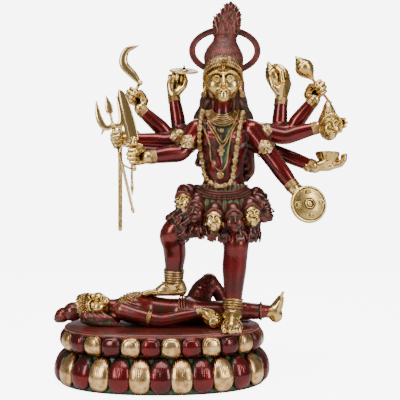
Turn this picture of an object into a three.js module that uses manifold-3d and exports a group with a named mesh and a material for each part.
// A ten-armed goddess standing on a reclining god, in cast brass, on an oval double lotus pedestal.
// Millimetres, +Z up. The origin is the centre of the pedestal's underside and the group faces -Y.
// Left and right in names and comments are the viewer's, looking along +Y.
import * as THREE from "three";
import { SimplifyModifier } from "three/addons/modifiers/SimplifyModifier.js";
import { mergeVertices } from "three/addons/utils/BufferGeometryUtils.js";
import Module from "manifold-3d";

const wasm = await Module();
wasm.setup();

const V = (x, y, z) => new THREE.Vector3(x, y, z);
const UP = V(0, 0, 1);
const BACK = V(0, 1, 0);

// Gap kept between two pieces that touch in the real work
const GAP = 0.3;

// A six-sided hole round a rod is this much wider, so that its flats clear the rod
const HOLE_ROOM = 1.16;

// Share of the vertices that goes once a figure's parts are joined
const LIGHTER = { group: 0.38, standing: 0.56, reclining: 0.52 };

// Where a limb's radius jumps, its two stations lie this share of its length apart
const STEP = 0.008;

// Pedestal: an oval with flattened sides, and a waist between two rows of petals. Both rows have the
// same number; the lower row starts near the middle of the front, the upper row half a petal on
const PEDESTAL = {
  halfWidth: 232,
  halfDepth: 156,
  fullness: 2.25,
  height: 130,
  petals: 28,
  start: 4.7,
  swell: 9,
};
const PEDESTAL_LEVELS = [
  // height, distance out from the oval, share of the petals' swell, how much the height follows a
  // petal's rounded end, and whether the level belongs to the upper row
  [0, 14, 0, 0, false],
  [4, 18, 1, 13, false],
  [40, 22, 1, 2, false],
  [72, 1, 0.5, 0, false],
  [79, -4, 0, 0, false],
  [84, -2, 0.5, 0, true],
  [106, 6, 1, -1, true],
  [128, 2, 1, -12, true],
  [130, -5, 0, 0, true],
];

// Standing figure: landmarks on its axis and its joints
const AXIS = V(145, -24, 0);
const TORSO_LEVELS = [
  // height, centre X, centre Y, half width, half depth; the belt and the collar stand out
  [400, 142, -22, 64, 46],
  [449, 144, -22, 56, 40],
  [452, 144, -23, 60, 44],
  [464, 145, -23, 57, 41],
  [467, 146, -24, 49, 35],
  [486, 147, -24, 46, 33],
  [545, 145, -24, 55, 38],
  [602, 145, -20, 64, 32],
  [615, 144, -21, 46, 31],
  [634, 144, -23, 27, 27],
  [637, 143, -22, 20, 20],
  [668, 144, -24, 20, 20],
];
const HEAD = { centre: V(144, -26, 706), half: V(42, 47, 55) };
// The hair piled on the head, then the crest, whose tiers of leaf-like locks stand out and draw in
const HAIR_LEVELS = [
  [718, 145, -10, 46, 43],
  [748, 146, -12, 52, 48],
  [772, 145, -12, 51, 45],
  [800, 146, -9, 35, 28],
  [822, 153, -8, 33, 25],
  [848, 157, -7, 42, 28],
  [851, 158, -7, 31, 22],
  [870, 160, -6, 36, 25],
  [873, 161, -6, 25, 18],
  [889, 162, -5, 27, 18],
  [901, 165, -5, 5, 4],
];
const HALO = { centre: V(150, 14, 788), half: [87, 59], band: 16, thick: 8, segments: 11 };
const HAIR_LOCKS = 6;
const HAIR_GROOVE = 4;
const BACK_HAIR = {
  locks: 7,
  groove: 6,
  levels: [
    // height, centre X, centre Y, half width, half depth
    [466, 168, 12, 44, 14],
    [500, 159, 16, 73, 22],
    [560, 154, 16, 72, 26],
    [622, 149, 12, 71, 30],
    [690, 148, 2, 53, 36],
    [750, 146, -4, 43, 36],
  ],
};

const ARMS = {
  // shoulder, elbow, wrist and the radius at each
  discus: [V(92, 18, 594), V(41, 28, 594), V(26, 34, 681), [24, 19, 13]],
  sickle: [V(90, 6, 588), V(18, 12, 581), V(-52, 0, 644), [25, 20, 13]],
  trident: [V(88, -14, 590), V(16, -14, 567), V(-84, -30, 569), [25, 20, 14]],
  staff: [V(92, 18, 572), V(12, 22, 552), V(-54, 8, 563), [22, 17, 13]],
  sword: [V(82, -34, 592), V(46, -60, 537), V(-26, -84, 525), [25, 21, 14]],
  conch: [V(202, 18, 594), V(282, 30, 590), V(289, 34, 674), [24, 20, 14]],
  mace: [V(204, 6, 590), V(306, 14, 594), V(363, 1, 666), [25, 20, 13]],
  head: [V(208, -14, 592), V(290, -24, 577), V(367, -30, 598), [25, 20, 13]],
  bowl: [V(206, 16, 566), V(288, 26, 540), V(365, 14, 508), [22, 18, 14]],
  shield: [V(212, -34, 590), V(264, -62, 514), V(304, -80, 456), [25, 21, 14]],
};
const BRACELET = { length: 14, proud: 3.5 };
const ARMLET = { length: 22, proud: 4 };
const ARMLETS = { trident: 0.68, sword: 0.7, head: 0.42, shield: 0.62 };

// A fist's half thickness from little finger to thumb, its length, and how far its heel is drawn out
const FIST = { swells: [10, 19, 16, 20, 17, 20.5, 17, 19, 11], length: 47, heel: 1.2 };

// An open hand: from the wrist to the knuckles, and the two halves of its curling fingers
const OPEN_HAND = { palm: 28, first: 13, second: 12 };

const LEGS = {
  // hip, knee, calf, ankle and the radius at each
  raised: [V(112, -24, 414), V(26, -30, 348), V(30, -12, 296), V(26, 0, 224), [44, 31, 27, 19]],
  planted: [V(168, -26, 414), V(174, -48, 322), V(170, -52, 262), V(165, -61, 168), [44, 31, 27, 18]],
};
const ANKLETS = { raised: [262, 230, 24], planted: [199, 178, 22] };
const RAISED_FOOT = { toe: V(-38, -2, 203), heel: V(46, 4, 206), width: 18, sole: 197 };
const PLANTED_FOOT = { toe: V(160, -132, 138), heel: V(165, -58, 142), width: 22 };

// The skirt of heads and arms. Both the heads' lift and how far they lie back, with their hair to the
// belt, grow from the middle of the front to the sides, given for the left and the right
const SKIRT = {
  heads: 13,
  centre: V(145, -20, 421),
  ring: [95, 69],
  dip: 28,
  lift: [31, 21],
  lean: { front: 0.3, left: 0.8, right: 0.5 },
  head: [18, 18, 24],
  arms: 9,
  hem: 336,
  hemMiddle: 320,
  // The part of it that lies over the raised thigh: from, to and the radius at both
  thigh: [V(112, -24, 408), V(46, -28, 370), 46, 38],
};
const GARLAND = { skulls: 9, top: 636, low: 462, spread: 47, size: 8 };

// Reclining figure: it lies along X with its head to the left
const RECLINED = {
  chest: V(-58, 6, 170),
  hip: V(66, 8, 162),
  head: V(-160, -4, 172),
  seat: 196.7,
};

// Held things
const ROD_RADIUS = 3.6;
const TRIDENT = { base: V(-111, -46, 591), tail: V(-65, -50, 396), half: 30, tall: 81, thick: 4.5 };
const STAFF = { top: V(-102, 5, 607), foot: V(-102, 5, 352), radius: 5.2 };
const ARROW = { top: V(-76, 5, 600), foot: V(-73, 5, 437), radius: 3 };
const SWORD = {
  guard: V(-60, -94, 556),
  tip: V(-95, -94, 680),
  width: 30,
  pommel: V(-62, -94, 498),
  thick: 5,
  bow: 2.4,
};
const SICKLE = { neck: V(-54, -8, 706), foot: V(-90, -2, 645), thick: 4 };
const MACE = { tip: V(317, -10, 772), foot: V(404, -2, 657), head: 70, radius: 22 };
const SHIELD = { centre: V(339, -103, 419), radius: 43, dish: 8, thick: 4, rosettes: 26.5, turn: -0.1 };
const DISCUS = { centre: V(51, 26, 741), radius: 36, thick: 4, teeth: 12, lean: 20 };
const BOWL = { centre: V(397, 6, 540), radius: 29, deep: 32, wall: 4 };
const CONCH = { tip: V(256, 30, 766), foot: V(286, 34, 686) };
const HELD_HEAD = { centre: V(397, -45, 601), half: [27, 29, 42] };

// A closed three.js geometry as a manifold solid, turned the right way round
function solid(geometry) {
  const bare = geometry.index ? geometry.toNonIndexed() : geometry.clone();
  bare.deleteAttribute("normal");
  bare.deleteAttribute("uv");
  const merged = mergeVertices(bare, 1e-3);
  const make = (triVerts) =>
    new wasm.Manifold(
      new wasm.Mesh({ numProp: 3, vertProperties: merged.attributes.position.array, triVerts }),
    );
  const faces = new Uint32Array(merged.index.array);
  const made = make(faces);
  return made.volume() > 0 ? made : make(faces.map((_, i) => faces[i - (i % 3) + (2 - (i % 3))]));
}

const join = (solids) => solids.reduce((a, b) => a.add(b));

// A solid back as a three.js geometry
function geometryOf(made) {
  const { numProp, vertProperties, triVerts } = made.getMesh();
  const points = new Float32Array((vertProperties.length / numProp) * 3);
  for (let i = 0; i < points.length / 3; i++)
    points.set(vertProperties.subarray(i * numProp, i * numProp + 3), i * 3);
  return new THREE.BufferGeometry()
    .setAttribute("position", new THREE.BufferAttribute(points, 3))
    .setIndex(new THREE.BufferAttribute(triVerts, 1));
}

function meshOf(name, made, material) {
  const geometry = geometryOf(made);
  geometry.computeVertexNormals();
  const mesh = new THREE.Mesh(geometry, material);
  mesh.name = name;
  return mesh;
}

// Whether every edge joins exactly two faces
function isClosed(faces) {
  const edges = new Map();
  for (let i = 0; i < faces.length; i++) {
    const ends = [faces[i], faces[i % 3 === 2 ? i - 2 : i + 1]].sort((a, b) => a - b).join();
    edges.set(ends, (edges.get(ends) ?? 0) + 1);
  }
  return [...edges.values()].every((n) => n === 2);
}

// The same form with a share of its vertices gone, or a smaller share where that would open it
async function lighter(made, share, rounds = 1) {
  let whole = geometryOf(made);
  const target = whole.attributes.position.count * (1 - share);
  for (let round = 0; round < rounds; round++) {
    const count = whole.attributes.position.count;
    for (let drop = count - target; drop > count * 0.01; drop -= count * 0.01) {
      const less = await new SimplifyModifier().modify(whole, drop);
      if (!isClosed(less.index.array)) continue;
      whole = less;
      break;
    }
  }
  return solid(whole);
}

// A round limb along a smooth path. Each station is a share of the path's length and the radius there;
// the section may be flattened, and its ends may bulge
function limb(points, stations, sides = 6, bulge = 0.2, flat = 1) {
  const path = new THREE.CatmullRomCurve3(points);
  const fine = 60;
  const frames = path.computeFrenetFrames(fine, false);
  const geometry = new THREE.CylinderGeometry(1, 1, 1, sides, stations.length - 1);
  const p = geometry.attributes.position;
  for (let i = 0; i < p.count; i++) {
    const [t, r] = stations[Math.round((0.5 - p.getY(i)) * (stations.length - 1))];
    const k = Math.round(t * fine);
    const at = path
      .getPointAt(t)
      .addScaledVector(frames.normals[k], p.getX(i) * r)
      .addScaledVector(frames.binormals[k], p.getZ(i) * r * flat);
    const onWall = Math.hypot(p.getX(i), p.getZ(i)) > 0.5;
    if (!onWall) at.addScaledVector(frames.tangents[k], (t < 0.5 ? -1 : 1) * bulge * r);
    p.setXYZ(i, at.x, at.y, at.z);
  }
  return solid(geometry);
}

// Stations spread evenly over a limb
const even = (...radii) => radii.map((r, i) => [i / (radii.length - 1), r]);

const rod = (from, to, radius, sides = 6) => limb([from, to], even(radius, radius), sides, 0);

// Level ellipses stacked up in Z; each level is height, centre X, centre Y, half width, half depth.
// A groove draws every other side in
function stack(levels, sides = 10, groove = 0) {
  const geometry = new THREE.CylinderGeometry(1, 1, 1, sides, levels.length - 1);
  const p = geometry.attributes.position;
  for (let i = 0; i < p.count; i++) {
    const [z, cx, cy, rx, ry] = levels[Math.round((p.getY(i) + 0.5) * (levels.length - 1))];
    const side = Math.round((Math.atan2(p.getX(i), p.getZ(i)) / (2 * Math.PI)) * sides);
    const inward = side % 2 ? Math.min(groove, 0.3 * Math.min(rx, ry)) : 0;
    p.setXYZ(i, cx + p.getX(i) * (rx - inward), cy - p.getZ(i) * (ry - inward), z);
  }
  return solid(geometry);
}

// An ellipsoid with its own axes turned by Euler angles in degrees
function blob(centre, half, turn = [0, 0, 0], across = 8, high = 6) {
  const geometry = new THREE.SphereGeometry(1, across, high).rotateX(Math.PI / 2);
  geometry.scale(half[0], half[1], half[2]);
  const [a, b, c] = turn.map(THREE.MathUtils.degToRad);
  geometry.applyMatrix4(new THREE.Matrix4().makeRotationFromEuler(new THREE.Euler(a, b, c, "XYZ")));
  return solid(geometry.translate(centre.x, centre.y, centre.z));
}

// A box between two corners
function box(low, high) {
  const size = high.clone().sub(low);
  const mid = low.clone().add(high).multiplyScalar(0.5);
  return solid(new THREE.BoxGeometry(size.x, size.y, size.z).translate(mid.x, mid.y, mid.z));
}

// A flat outline in the X-Z plane, given thickness about a place in Y
function plate(outline, y, thick) {
  const shape = new THREE.Shape(outline);
  const geometry = new THREE.ExtrudeGeometry(shape, { depth: thick, bevelEnabled: false });
  return solid(geometry.rotateX(Math.PI / 2).translate(0, y + thick / 2, 0));
}

// A turned form about the line from one point towards another; profile points are radius and distance
function turned(from, to, profile, sides = 10) {
  const geometry = new THREE.LatheGeometry(
    profile.map(([r, d]) => new THREE.Vector2(r, d)),
    sides,
  );
  const aim = new THREE.Quaternion().setFromUnitVectors(BACK, to.clone().sub(from).normalize());
  return solid(geometry.applyQuaternion(aim).translate(from.x, from.y, from.z));
}

// The pedestal's oval, walked by distance from the middle of the front towards +X
function ovalWalk(halfWidth, halfDepth) {
  const fine = 1440;
  const power = (v) => Math.sign(v) * Math.pow(Math.abs(v), 2 / PEDESTAL.fullness);
  const ring = Array.from({ length: fine + 1 }, (_, i) => {
    const a = (i / fine) * 2 * Math.PI;
    return new THREE.Vector2(halfWidth * power(Math.sin(a)), -halfDepth * power(Math.cos(a)));
  });
  const run = [0];
  for (let i = 1; i <= fine; i++) run.push(run[i - 1] + ring[i].distanceTo(ring[i - 1]));
  const total = run[fine];
  const at = (distance, outward) => {
    const want = ((distance % total) + total) % total;
    const i = Math.max(1, run.findIndex((d) => d >= want));
    const step = ring[i].clone().sub(ring[i - 1]).normalize();
    return ring[i].clone().add(new THREE.Vector2(step.y, -step.x).multiplyScalar(outward));
  };
  return { at, total };
}

// The pedestal's wall: each petal takes four sides, so the levels of the two rows scallop it in turn
function pedestal() {
  const { halfWidth, halfDepth, petals, start, swell } = PEDESTAL;
  const across = 4;
  const sides = petals * across;
  const walk = ovalWalk(halfWidth, halfDepth);
  const last = PEDESTAL_LEVELS.length - 1;
  const geometry = new THREE.CylinderGeometry(1, 1, 1, sides, last);
  const p = geometry.attributes.position;
  for (let i = 0; i < p.count; i++) {
    const [height, out, share, rounding, isUpper] = PEDESTAL_LEVELS[Math.round((p.getY(i) + 0.5) * last)];
    const turn = Math.atan2(p.getX(i), p.getZ(i)) / (2 * Math.PI);
    const side = Math.round(turn * sides);
    const full = Math.abs(Math.cos(((side + (isUpper ? across / 2 : 0)) / across) * Math.PI)) ** 0.7;
    const at = walk.at(start + (side / sides) * walk.total, out + share * swell * (full - 1));
    const onWall = Math.hypot(p.getX(i), p.getZ(i)) > 0.5 ? 1 : 0;
    p.setXYZ(i, at.x * onWall, at.y * onWall, height + rounding * (1 - full) * onWall);
  }
  return solid(geometry);
}

// An arm that ends in its bracelet and, where it has one, wears an armlet
function arm(name) {
  const [shoulder, elbow, wrist, [a, b, c]] = ARMS[name];
  const upper = shoulder.distanceTo(elbow);
  const whole = upper + elbow.distanceTo(wrist);
  const bend = upper / whole;
  const cuff = 1 - BRACELET.length / whole;
  const stations = [[0, a], [bend * 0.5, a * 0.85], [bend, b], [(1 + bend) / 2, b * 0.95], [cuff, c]];
  if (name in ARMLETS) {
    const half = ARMLET.length / whole / 2;
    const at = bend * ARMLETS[name];
    stations.splice(
      1,
      1,
      [at - half, a * 0.87],
      [at - half + STEP, a * 0.85 + ARMLET.proud],
      [at + half - STEP, a * 0.85 + ARMLET.proud],
      [at + half, a * 0.84],
    );
  }
  stations.push([cuff + STEP, c + BRACELET.proud], [0.999, c + BRACELET.proud], [1, c]);
  const middle = elbow.clone().lerp(shoulder.clone().add(wrist).multiplyScalar(0.5), 0.06);
  const path = [shoulder, shoulder.clone().lerp(elbow, 0.5), middle, elbow.clone().lerp(wrist, 0.5), wrist];
  return limb(path, stations, 6, 0.6);
}

// A hand closed round a rod. Its fingers are the swells of a short form along the grip, drawn out
// towards the wrist
function fist(centre, grip, wrist, size = 1) {
  const g = grip.clone().normalize();
  const w = wrist.clone().sub(centre);
  w.addScaledVector(g, -w.dot(g)).normalize();
  const n = new THREE.Vector3().crossVectors(g, w);
  if (n.y < 0) n.negate();
  const geometry = new THREE.CylinderGeometry(1, 1, 1, 6, FIST.swells.length - 1);
  const p = geometry.attributes.position;
  for (let i = 0; i < p.count; i++) {
    const k = Math.round((p.getY(i) + 0.5) * (FIST.swells.length - 1));
    const r = FIST.swells[k];
    const pull = p.getX(i) > 0.1 ? FIST.heel : 1.08;
    const at = centre
      .clone()
      .addScaledVector(g, (k / (FIST.swells.length - 1) - 0.5) * FIST.length * size)
      .addScaledVector(w, p.getX(i) * r * pull * size)
      .addScaledVector(n, p.getZ(i) * r * size);
    p.setXYZ(i, at.x, at.y, at.z);
  }
  const on = (a, b, c) =>
    centre
      .clone()
      .addScaledVector(g, a * size)
      .addScaledVector(w, b * size)
      .addScaledVector(n, c * size);
  const thumb = [on(8, 16, -6), on(11, 4, -14), on(5, -6, -14)];
  return [
    solid(geometry),
    limb([wrist.clone().addScaledVector(w, 3), on(0, 10, 0)], even(12 * size, 13 * size), 5, 0),
    limb(thumb, even(6.5 * size, 5.5 * size, 4 * size), 4),
  ];
}

// A slab of swells, such as fingers or toes side by side. Each row is a distance along, a lift, a half
// width, a depth out to the swells and whether the swells are parted there
function swellSlab(at, rows, swells, under) {
  const across = swells * 2 + 1;
  const sides = across + 2;
  const geometry = new THREE.CylinderGeometry(1, 1, 1, sides, rows.length - 1);
  const p = geometry.attributes.position;
  for (let i = 0; i < p.count; i++) {
    const [along, lift, half, deep, parted] = rows[Math.round((p.getY(i) + 0.5) * (rows.length - 1))];
    const turn = Math.atan2(p.getX(i), p.getZ(i)) / (2 * Math.PI);
    const k = Math.round((turn + 1) * sides) % sides;
    const onWall = Math.hypot(p.getX(i), p.getZ(i)) > 0.5;
    const onTop = k < across;
    const fromSide = onTop ? (k / (across - 1)) * 2 - 1 : 0.6 - 1.2 * (k - across);
    const valley = parted && k % 2 === 0 ? 0.55 : 1;
    const out = onTop ? -deep * valley * Math.sqrt(1.15 - fromSide ** 2) : deep * under;
    const place = onWall ? at(along, fromSide * half, lift + out) : at(along, 0, lift);
    p.setXYZ(i, place.x, place.y, place.z);
  }
  return solid(geometry);
}

// An open hand whose palm faces the way given. Its fingers are the swells across one curling slab
function openHand(wrist, reach, palm, curl, size = 1) {
  const r = reach.clone().normalize();
  const side = new THREE.Vector3().crossVectors(r, palm).normalize();
  const face = new THREE.Vector3().crossVectors(side, r).normalize();
  const at = (along, across, out) =>
    wrist
      .clone()
      .addScaledVector(r, along * size)
      .addScaledVector(side, across * size)
      .addScaledVector(face, out * size);
  const bend = THREE.MathUtils.degToRad(curl);
  const { palm: knuckle, first, second } = OPEN_HAND;
  const joint = [knuckle + first * Math.cos(bend / 2), first * Math.sin(bend / 2)];
  const tip = [joint[0] + second * Math.cos(bend), joint[1] + second * Math.sin(bend)];
  const rows = [
    [0, 0, 12, 9, false],
    [16, -1, 15, 8, false],
    [knuckle, 0, 16.5, 6.5, true],
    [...joint, 16, 5.5, true],
    [...tip, 14, 4, true],
  ];
  const thumb = [at(8, 13, 3), at(22, 20, 9), at(32, 15, 15)];
  return [swellSlab(at, rows, 4, 0.8), limb(thumb, even(6 * size, 5.5 * size, 4 * size), 4)];
}

function hands() {
  const wristOf = (name) => ARMS[name][2];
  // A fist round a rod, at a share of the way from the rod's upper end to its foot
  const fistOn = (name, top, end, share) =>
    fist(top.clone().lerp(end, share), top.clone().sub(end), wristOf(name));
  return [
    openHand(wristOf("discus"), V(0.1, 0, 1), V(0, -1, 0), 20, 1.05),
    fistOn("sickle", SICKLE.neck, SICKLE.foot, 0.5),
    fistOn("trident", TRIDENT.base, TRIDENT.tail, 0.12),
    fist(V(-88, 5, 574), UP, wristOf("staff"), 1.05),
    fist(V(-61, -94, 526), UP, wristOf("sword")),
    openHand(wristOf("conch"), V(0.25, -0.25, 1), V(-0.8, 0.55, 0.25), 70, 1.25),
    fistOn("mace", MACE.tip, MACE.foot, 0.68),
    openHand(wristOf("head"), V(1, 0.2, 0.1), V(0.2, -1, 0), 20, 0.85),
    openHand(wristOf("bowl"), V(1, 0, -0.06), V(-0.06, -0.15, 1), 60, 1.1),
    openHand(wristOf("shield"), V(0.7, -0.2, -0.7), V(-0.6, 0.5, -0.6), 60, 0.85),
  ];
}

// A hanging or held head: skull, pointed hair, nose and chin, facing a heading in the X-Y plane
function smallHead(centre, half, heading, lean = 0, peak = 1.7) {
  const geometry = new THREE.SphereGeometry(1, 6, 4).rotateX(Math.PI / 2);
  const p = geometry.attributes.position;
  for (let i = 0; i < p.count; i++) {
    const z = p.getZ(i);
    const taper = z > 0 ? 1 - 0.45 * z * z : 1 + 0.3 * z * z;
    const nose = z < 0.1 && z > -0.6 && p.getY(i) < -0.75 ? 1.18 : 1;
    const rise = z * half[2] * (z > 0 ? peak : 1);
    p.setXYZ(i, p.getX(i) * half[0] * taper, p.getY(i) * half[1] * taper * nose, rise);
  }
  geometry.rotateX(lean).rotateZ(heading);
  return solid(geometry.translate(centre.x, centre.y, centre.z));
}

function skirt() {
  const { heads, centre, ring, dip, lift, lean, head, arms, hem, hemMiddle, thigh } = SKIRT;
  const parts = [
    stack(
      [
        [364, 140, -22, 76, 54],
        [400, 141, -22, 94, 66],
        [430, 142, -22, 90, 62],
        [460, 144, -22, 56, 40],
      ],
      10,
    ),
    limb([thigh[0], thigh[1]], even(thigh[2], thigh[3]), 8, 0),
  ];
  for (let k = 0; k < heads; k++) {
    const a = ((k + 0.5) / heads) * 2 * Math.PI;
    const toSide = Math.abs(Math.sin(a));
    const isLeft = Math.sin(a) < 0;
    const at = V(
      centre.x + ring[0] * Math.sin(a),
      centre.y - ring[1] * Math.cos(a),
      centre.z - (dip * (1 + Math.cos(a))) / 2 + toSide * lift[isLeft ? 0 : 1],
    );
    const most = isLeft ? lean.left : lean.right;
    parts.push(smallHead(at, head, a, -THREE.MathUtils.lerp(lean.front, most, toSide ** 2)));
  }
  for (let k = 0; k < arms; k++) {
    const a = ((k - 0.35) / arms) * 2 * Math.PI;
    const toLeft = Math.max(0, -Math.sin(a));
    const top = V(centre.x + 70 * Math.sin(a), centre.y - 52 * Math.cos(a), 400);
    const foot = V(
      centre.x + (76 + 22 * toLeft) * Math.sin(a),
      centre.y - 58 * Math.cos(a),
      (k === 0 ? hemMiddle : hem) + 36 * toLeft * toLeft,
    );
    parts.push(limb([top, foot], even(14, 11, 7), 5));
  }
  return parts;
}

function hair() {
  // Side hair runs from the temples to the shoulders
  const sideHair = [-1, 1].map((side) => {
    const run = [[41, -2, 745], [44, -6, 690], [53, -8, 640], [72, 0, 612]];
    const path = run.map(([x, y, z]) => V(AXIS.x + 2 + x * side, y, z));
    return limb(path, even(13, 14, 17, 14), 6);
  });
  return [
    stack(HAIR_LEVELS, HAIR_LOCKS * 2, HAIR_GROOVE),
    stack(BACK_HAIR.levels, BACK_HAIR.locks * 2, BACK_HAIR.groove),
    ...sideHair,
  ];
}

// The flat oval ring behind the head
function halo() {
  const { centre, half, band: wide, thick, segments } = HALO;
  const oval = (a, b) => new THREE.Path().absellipse(centre.x, centre.z, a, b, 0, 2 * Math.PI);
  const outer = new THREE.Shape(oval(half[0], half[1]).getPoints(segments).slice(1));
  outer.holes.push(new THREE.Path(oval(half[0] - wide, half[1] - wide).getPoints(segments).slice(1)));
  const geometry = new THREE.ExtrudeGeometry(outer, { depth: thick, bevelEnabled: false });
  return solid(geometry.rotateX(Math.PI / 2).translate(0, centre.y + thick / 2, 0));
}

function face() {
  const { centre, half } = HEAD;
  const c = (x, y, z) => V(centre.x + x, centre.y + y, centre.z + z);
  const both = (make) => [-1, 1].map(make);
  return [
    stack(
      [
        [centre.z - 54, centre.x, centre.y - 14, 12, 16],
        [centre.z - 44, centre.x, centre.y - 8, 27, 35],
        [centre.z - 22, centre.x, centre.y - 3, 38, 44],
        [centre.z + 12, centre.x, centre.y, half.x, half.y],
        [centre.z + 46, centre.x, centre.y + 8, 36, 38],
      ],
      10,
    ),
    // Nose, then the lips and the tongue put out over the chin
    limb([c(0, -44, 12), c(0, -54, -14)], even(3.5, 7.5), 4, 0),
    limb([c(0, -46, -22), c(0, -51, -32), c(0, -53, -50)], even(10, 8, 5), 5),
    // Ears that run down into round earrings
    ...both((s) => limb([c(43 * s, 4, 10), c(43 * s, 0, -10), c(44 * s, -3, -36)], even(4, 7, 5, 9, 6), 4)),
    // The leaves of the tiara over the brow
    ...Array.from({ length: 5 }, (_, i) => {
      const a = (i - 2) * 0.5;
      const foot = c(43 * Math.sin(a), -43 * Math.cos(a) + 4, 36 - 10 * (1 - Math.cos(a)));
      return limb([foot, foot.clone().add(V(2 * Math.sin(a), 0, 24))], even(9, 7, 1.5), 4, 0);
    }),
  ];
}

// A string of skulls, drawn as a beaded loop from the shoulders to below the waist
function garland() {
  const { skulls, top, low, spread, size } = GARLAND;
  return [-1, 1].map((side) => {
    const route = [0, 0.2, 0.45, 0.7, 0.9, 1].map((t) => {
      const z = top - (top - low) * Math.sin(t * Math.PI * 0.5) ** 1.1;
      const x = AXIS.x + side * spread * (1 - t ** 4) * (1 - 0.1 * t) + side * 4;
      const chest = -60 - 14 * Math.exp(-(((z - 572) / 26) ** 2));
      return V(x, THREE.MathUtils.lerp(-34, chest, Math.min(1, t * 4)), z);
    });
    const beads = Array.from({ length: skulls * 2 + 1 }, (_, i) => size * (i % 2 ? 1 : 0.6));
    return limb(route, even(...beads), 4);
  });
}

const torso = () => [
  stack(TORSO_LEVELS, 10),
  ...[-1, 1].map((s) => blob(V(AXIS.x + 31 * s, -52, 572), [23, 24, 23], [0, 0, 0], 7, 4)),
];

function leg(name) {
  const [hip, knee, calf, ankle, [a, b, c, d]] = LEGS[name];
  const [high, low, r] = ANKLETS[name];
  const lengths = [hip.distanceTo(knee), knee.distanceTo(calf), calf.distanceTo(ankle)];
  const whole = lengths[0] + lengths[1] + lengths[2];
  const atKnee = lengths[0] / whole;
  const atCalf = (lengths[0] + lengths[1]) / whole;
  const share = (z) => atCalf + ((calf.z - z) / (calf.z - ankle.z)) * (1 - atCalf);
  const stations = [
    [0, a],
    [atKnee * 0.55, (a + b) / 2 + 3],
    [atKnee, b + 1],
    [(atKnee + atCalf) / 2, c + 1],
    [atCalf, c],
    [share(high), d + 3],
    [share(high) + STEP, r],
    [share(low), r],
    [share(low) + STEP, d + 1],
    [1, d],
  ];
  return limb([hip, hip.clone().lerp(knee, 0.5), knee, calf, ankle], stations, 8, 0);
}

// A foot from heel to toes
function foot(toe, heel, width, ankle) {
  const reach = toe.clone().sub(heel).normalize();
  const side = new THREE.Vector3().crossVectors(reach, UP).normalize();
  const on = (t, s, up) => heel.clone().lerp(toe, t).addScaledVector(side, s).addScaledVector(UP, up);
  const at = (along, across, down) => on(along, across, -down);
  const rows = [
    [-0.2, 0, 11, 12, false],
    [0, 0, 17, 20, false],
    [0.45, 1, width * 0.85, 24, false],
    [0.8, 4, width, 15, true],
    [1, 6, width * 0.85, 11, true],
  ];
  const instep = limb([ankle, on(0.2, 0, 14), on(0.45, 0, 3)], even(18, 17, 12), 6, 0);
  return swellSlab(at, rows, 5, 0.9).add(instep);
}

const feet = () => [
  foot(RAISED_FOOT.toe, RAISED_FOOT.heel, RAISED_FOOT.width, LEGS.raised[3]),
  foot(PLANTED_FOOT.toe, PLANTED_FOOT.heel, PLANTED_FOOT.width, LEGS.planted[3]),
];

// What is cut away under the two feet, so that their soles are flat
function soleRoom() {
  const under = (mid, z) => box(V(mid.x - 120, mid.y - 90, z - 60), V(mid.x + 90, mid.y + 90, z));
  return [
    under(RAISED_FOOT.heel, RAISED_FOOT.sole + GAP),
    under(PLANTED_FOOT.heel, PEDESTAL.height + GAP),
  ];
}

// What the left and right hands hold that is cast with them
function heldInCasting() {
  const { centre, radius, deep, wall } = BOWL;
  const bowlSkin = (inward) =>
    [0.4, 0.75, 1].map((t) => {
      const wide = Math.sqrt(Math.min(1, t * 1.15));
      return [(radius - inward) * wide, -deep * (1 - t) + inward];
    });
  const outer = [[0, -deep], ...bowlSkin(0), [radius, 0], [0, 0]];
  const inner = [[0, -deep + wall], ...bowlSkin(wall), [radius - wall, 8], [0, 8]];
  const above = centre.clone().add(UP);
  const bowlRoom = turned(centre, above, inner, 8);
  const curls = HELD_HEAD.centre.clone().add(V(23, 5, -1));
  const farCurls = HELD_HEAD.centre.clone().add(V(-19, 9, -1));
  const shell = [[0, 0], [8, 10], [15, 26], [14, 48], [6, 74], [0, 82]];
  return {
    added: [
      smallHead(HELD_HEAD.centre, HELD_HEAD.half, 0.1, 0, 1.3),
      blob(curls, [14, 15, 22], [0, 0, 0], 6, 5),
      blob(farCurls, [9, 12, 15], [0, 0, 0], 6, 5),
      turned(CONCH.tip, CONCH.foot, shell, 6),
    ],
    bowl: turned(centre, above, outer, 8).subtract(bowlRoom),
    bowlRoom,
  };
}

// The rods that pass through the hands, with a clearance and run on past both ends
function gripRods(clearance) {
  const run = (from, to, radius) => {
    const past = to.clone().sub(from).setLength(6);
    return rod(from.clone().sub(past), to.clone().add(past), (radius + clearance) * HOLE_ROOM);
  };
  return [
    run(SICKLE.neck, SICKLE.foot, ROD_RADIUS),
    run(TRIDENT.base, TRIDENT.tail, ROD_RADIUS),
    run(STAFF.top, STAFF.foot, STAFF.radius),
    run(ARROW.top, ARROW.foot, ARROW.radius),
    run(SWORD.guard, SWORD.pommel, ROD_RADIUS),
    run(MACE.tip, MACE.foot, ROD_RADIUS),
  ];
}

async function standingFigure() {
  const held = heldInCasting();
  const groups = [
    [...torso(), ...face()],
    [...hair(), halo()],
    skirt(),
    [leg("raised"), leg("planted"), ...feet()],
    Object.keys(ARMS).map(arm),
    ...hands(),
    held.added,
  ];
  const lightened = await Promise.all(groups.map((group) => lighter(join(group), LIGHTER.group, 2)));
  const body = join([...lightened, ...garland()]);
  const clear = [
    ...gripRods(GAP),
    knuckleBow(SWORD.bow + 2 * GAP),
    discus(GAP),
    shield(GAP),
    held.bowlRoom,
    ...soleRoom(),
  ];
  const light = await lighter(body, LIGHTER.standing, 3);
  return clear.reduce((made, tool) => made.subtract(tool), light.add(held.bowl));
}

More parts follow.
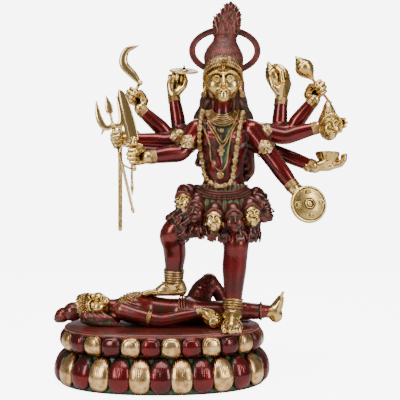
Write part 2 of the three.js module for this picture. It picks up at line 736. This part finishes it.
async function recliningFigure() {
  const { chest, hip, head, seat } = RECLINED;
  const trunk = [V(-108, 4, 164), chest, V(10, 6, 164), hip, V(92, 8, 160)];
  const knots = [V(-170, -3, 170), V(-212, -5, 162), V(-251, -6, 140)];
  const nearArm = [V(-92, -38, 168), V(-50, -50, 158), V(-4, -54, 147), V(40, -56, 156), V(84, -56, 169)];
  const farArm = [V(-92, 50, 164), V(-50, 62, 156), V(-4, 66, 147), V(56, 68, 143), V(92, 68, 139)];
  const nearLeg = [V(80, -6, 158), V(160, -4, 158), V(200, -2, 161), V(254, 0, 161)];
  const nearFoot = [V(246, 0, 157), V(273, 0, 150), V(281, 0, 176), V(288, 0, 208)];
  const parts = [
    limb(trunk, even(24, 37, 32, 33, 34, 28), 9),
    blob(V(-62, 6, 166), [50, 52, 36], [0, 0, 0], 8, 5),
    blob(V(62, 8, 156), [40, 44, 30], [0, 0, 0], 8, 5),
    // Neck and head, half turned to the front, with the hair gathered beyond the crown
    limb([V(-92, 4, 168), V(-138, 0, 170)], even(24, 19), 6),
    blob(head, [36, 29, 27], [0, 0, 0], 8, 5),
    limb([V(-153, -26, 186), V(-149, -30, 192)], even(7, 4), 4),
    limb(knots, even(26, 27, 18, 22, 14, 18, 8), 7),
    // Near arm and its hand over a small drum end
    limb(nearArm, even(20, 17, 16, 15, 12, 10), 6),
    blob(V(106, -58, 164), [30, 11, 9], [0, 16, 0], 6, 4),
    blob(V(122, -62, 143), [12, 14, 13], [0, 0, 0], 6, 4),
    limb(farArm, even(20, 16, 14, 7), 6),
    // Straight near leg with the foot pointing up
    limb(nearLeg, even(31, 27, 22, 20, 16), 7),
    limb(nearFoot, even(16, 21, 17, 9), 6),
    // Bent far leg and its foot
    limb([V(78, 26, 162), V(94, 42, 201), V(111, 50, 226)], even(33, 30, 23), 7),
    limb([V(114, 50, 229), V(136, 54, 198), V(158, 56, 150)], even(17, 18, 13), 6),
    limb([V(152, 55, 142), V(204, 54, 138)], even(12, 10), 6),
  ];
  const floor = box(V(-400, -200, 60), V(400, 200, PEDESTAL.height + GAP));
  const footRoom = box(V(-52, -24, seat), V(66, 32, seat + 60));
  return (await lighter(join(parts), LIGHTER.reclining)).subtract(floor).subtract(footRoom);
}

function sickle() {
  const { neck, foot: end, thick } = SICKLE;
  // Centre line of the crescent as three named turns, with the blade widest in the middle
  const spine = new THREE.CatmullRomCurve3([
    neck.clone(),
    V(-68, neck.y, 724),
    V(-92, neck.y, 752),
    V(-86, neck.y, 783),
    V(-54, neck.y, 797),
  ]);
  const steps = 9;
  const outer = [];
  const inner = [];
  for (let i = 0; i <= steps; i++) {
    const t = i / steps;
    const at = spine.getPointAt(t);
    const aim = spine.getTangentAt(t);
    const half = 4 + 11 * Math.sin(Math.PI * Math.min(1, t * 1.05)) ** 0.9 * (1 - 0.25 * t);
    const w = i === steps ? 0.6 : half;
    outer.push(new THREE.Vector2(at.x - aim.z * w, at.z + aim.x * w));
    inner.unshift(new THREE.Vector2(at.x + aim.z * w, at.z - aim.x * w));
  }
  return join([
    plate([...outer, ...inner], neck.y, thick),
    turned(neck.clone().add(V(3, 0, 5)), end, [[0, 0], [5, 0], [7, 4], [5, 9], [0, 9]], 6),
    rod(neck, end, ROD_RADIUS),
  ]);
}

function trident() {
  const { base, tail, half, tall, thick } = TRIDENT;
  const up = base.clone().sub(tail).normalize();
  const side = V(up.z, 0, -up.x);
  const at = (s, u) => base.clone().addScaledVector(up, u).addScaledVector(side, s);
  const flat = (s, u) => new THREE.Vector2(at(s, u).x, at(s, u).z);
  const y = base.y;
  const prong = (m) =>
    plate(
      [
        flat(0, 16), flat(m * half * 0.5, 20), flat(m * half * 0.74, 32), flat(m * half * 0.66, 54),
        flat(m * half * 0.76, tall - 3), flat(m * half * 1.06, tall * 0.62), flat(m * half * 1.08, 22),
        flat(m * half * 1.0, 8), flat(m * half * 0.8, 0), flat(m * half * 0.7, 8), flat(0, 0),
      ],
      y,
      thick,
    );
  const edge = [[2.6, 4], [2.2, 42], [9, 52], [6, 62]];
  const leaf = plate(
    [
      ...edge.map(([s, u]) => flat(-s, u)),
      flat(0, tall + 2),
      ...edge.reverse().map(([s, u]) => flat(s, u)),
    ],
    y,
    thick,
  );
  return join([
    prong(1),
    prong(-1),
    leaf,
    turned(at(0, 12), tail, [[0, 0], [5.5, 0], [6.5, 5], [3, 10], [0, 10]], 6),
    rod(at(0, 10), tail, ROD_RADIUS),
    turned(tail.clone().addScaledVector(up, 10), tail, [[0, 0], [ROD_RADIUS - 1, 0], [5, 8], [0, 18]], 6),
  ]);
}

const staff = () => {
  const { top, foot: end, radius: r } = STAFF;
  return turned(top, end, [[0, 0], [r - 1.5, 0], [r, 3], [r, 250], [r - 1.5, 255], [0, 255]], 8);
};

const arrow = () => {
  const { top, foot: end, radius: r } = ARROW;
  return turned(top, end, [[0, 0], [r, 0], [r, 60], [r + 1.5, 144], [0, 163]], 6);
};

// The bow that guards the knuckles, from the guard round to the pommel
function knuckleBow(radius) {
  const bow = [[-62, 555], [-84, 551], [-95, 530], [-88, 511], [-74, 501], [-62, 497]];
  const route = bow.map(([x, z]) => V(x, SWORD.guard.y, z));
  return limb(route, even(...Array(7).fill(radius)), 4, 0);
}

function sword() {
  const { guard, tip, width, pommel, thick, bow } = SWORD;
  const aim = tip.clone().sub(guard).normalize();
  const side = V(aim.z, 0, -aim.x);
  const length = tip.distanceTo(guard);
  const backEdge = [[-0.46, 0.08], [-0.42, 0.35], [-0.36, 0.65], [-0.2, 0.9]];
  const cuttingEdge = [[0.34, 0.82], [0.5, 0.55], [0.52, 0.3], [0.44, 0.1]];
  const collar = [[0, 0], [9, 0], [10, 6], [6, 14], [0, 14]];
  const outline = [...backEdge, [0, 1], ...cuttingEdge].map(([s, u]) => {
    const at = guard.clone().addScaledVector(aim, u * length).addScaledVector(side, s * width);
    return new THREE.Vector2(at.x, at.z);
  });
  return join([
    plate(outline, guard.y, thick),
    turned(guard.clone().addScaledVector(aim, 14), guard, collar, 6),
    rod(guard, pommel, ROD_RADIUS),
    blob(pommel, [6, 6, 5], [0, 0, 0], 7, 5),
    knuckleBow(bow),
  ]);
}

function mace() {
  const { tip, foot: end, head, radius } = MACE;
  const spire = [[0, 0], [3, 3], [7, 10], [11, 14], [14, 20], [18, 23]];
  const body = [[radius, 34], [radius - 3, 46], [12, 60], [5.5, head], [0, head]];
  return join([turned(tip, end, [...spire, ...body], 8), rod(tip.clone().lerp(end, 0.3), end, ROD_RADIUS)]);
}

// A shallow dished disc with a boss, rosettes and a rolled edge
function shield(grow = 0) {
  const { centre, radius, dish, thick, rosettes, turn } = SHIELD;
  const front = centre.clone().add(V(0.22, -1, 0.16));
  const back = -thick - grow;
  const edge = radius + grow;
  const skin = [[0, back], [radius * 0.7, back - dish * 0.5], [edge, back - dish], [edge + 1, -dish]];
  const roll = [[radius - 3, -dish + 3.5], [radius - 5, -dish + 1.5]];
  const faceLine = [...roll, [radius * 0.6, -dish * 0.4], [9, 0], [7, 4], [0, 4]];
  const aim = front.clone().sub(centre).normalize();
  const side = new THREE.Vector3().crossVectors(UP, aim).normalize();
  const rise = new THREE.Vector3().crossVectors(aim, side);
  const parts = [turned(centre, front, [...skin, ...faceLine], 12)];
  for (let i = 0; i < 4; i++) {
    const a = (i / 4) * 2 * Math.PI + turn;
    const at = centre
      .clone()
      .addScaledVector(side, rosettes * Math.cos(a))
      .addScaledVector(rise, rosettes * Math.sin(a))
      .addScaledVector(aim, -4.5);
    parts.push(turned(at, at.clone().add(aim), [[0, -2], [8.5, -2], [0, 4]], 5));
  }
  return join(parts);
}

// A toothed disc on a spindle, leaning towards the viewer
function discus(grow = 0) {
  const { centre, radius, thick, teeth, lean } = DISCUS;
  const rim = Array.from({ length: teeth * 2 }, (_, i) => {
    const a = (i / (teeth * 2)) * 2 * Math.PI;
    const r = radius - (i % 2 ? 2.5 : 0);
    return new THREE.Vector2(r * Math.cos(a), r * Math.sin(a));
  });
  const depth = thick + 2 * grow;
  const geometry = new THREE.ExtrudeGeometry(new THREE.Shape(rim), { depth, bevelEnabled: false });
  const tilt = THREE.MathUtils.degToRad(lean);
  geometry.translate(0, 0, -depth / 2);
  geometry.rotateX(tilt).rotateY(THREE.MathUtils.degToRad(-4));
  const axis = V(0.05, -Math.sin(tilt), Math.cos(tilt));
  return join([
    solid(geometry.translate(centre.x, centre.y, centre.z)),
    rod(centre.clone().addScaledVector(axis, -10), centre.clone().addScaledVector(axis, 14), 2.6 + grow),
    turned(centre, centre.clone().add(axis), [[0, 0], [9, 0], [8, 4.5], [0, 5]], 6),
  ]);
}

const maroon = new THREE.MeshStandardMaterial({ color: 0x6e1a1c, roughness: 0.35, metalness: 0.4 });
const brass = new THREE.MeshStandardMaterial({ color: 0xc9a25a, roughness: 0.3, metalness: 1 });

const group = new THREE.Group();
group.add(
  meshOf("lotus_pedestal", pedestal(), maroon),
  meshOf("reclining_figure", await recliningFigure(), maroon),
  meshOf("kali_figure", await standingFigure(), maroon),
);
const heldThings = { discus, sickle, trident, staff, arrow, sword, mace, shield };
for (const [name, make] of Object.entries(heldThings)) group.add(meshOf(name, make(), brass));

export default group;
